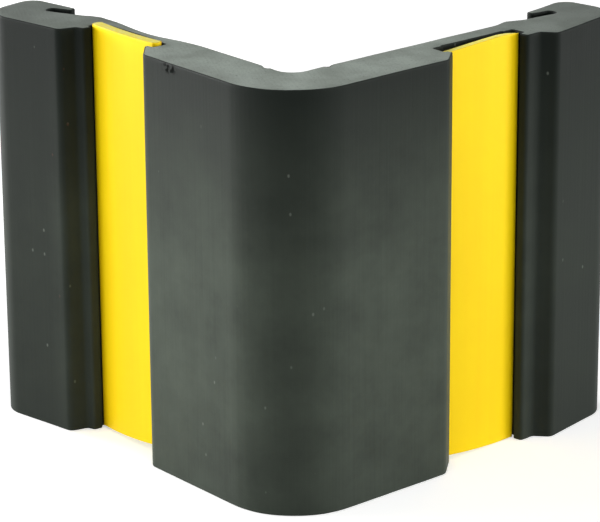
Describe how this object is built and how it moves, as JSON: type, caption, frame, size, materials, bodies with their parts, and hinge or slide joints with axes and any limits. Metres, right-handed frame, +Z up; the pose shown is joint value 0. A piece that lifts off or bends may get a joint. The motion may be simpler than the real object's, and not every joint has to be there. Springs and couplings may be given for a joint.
{
  "type": "corner guard",
  "caption": "Rubber corner guard with a rounded nose, hollow-backed end beads and yellow cover strips that slide in channels along its legs over hidden fixing holes.",
  "frame": {"origin": "middle of the base of the whole object's box, on the surface that the guard stands on", "axes": "+Z up along the profile; the right leg runs along +X and the left leg along +Y from the inside corner, which stands at X = Y = -0.0414 m, and the nose points to -X and -Y"},
  "size_m": [0.1172, 0.1172, 0.1107],
  "materials": {
    "rubber": "matt black rubber, extruded sides and paler sawn ends",
    "yellow_pvc": "satin yellow PVC",
    "zinc_steel": "zinc-plated steel"
  },
  "bodies": {
    "guard": {"rubber_profile": "rubber", "fixing_washer_left_lower": "zinc_steel", "fixing_washer_left_upper": "zinc_steel", "fixing_washer_right_lower": "zinc_steel", "fixing_washer_right_upper": "zinc_steel"},
    "strip_left": {"cover_strip_left": "yellow_pvc"},
    "strip_right": {"cover_strip_right": "yellow_pvc"}
  },
  "joints": [
    {"name": "left_strip_slide", "type": "slide", "parent": "guard", "child": "strip_left", "axis": [0, 0, 1], "range_m": [0, 0.113]},
    {"name": "right_strip_slide", "type": "slide", "parent": "guard", "child": "strip_right", "axis": [0, 0, 1], "range_m": [0, 0.113]}
  ]
}
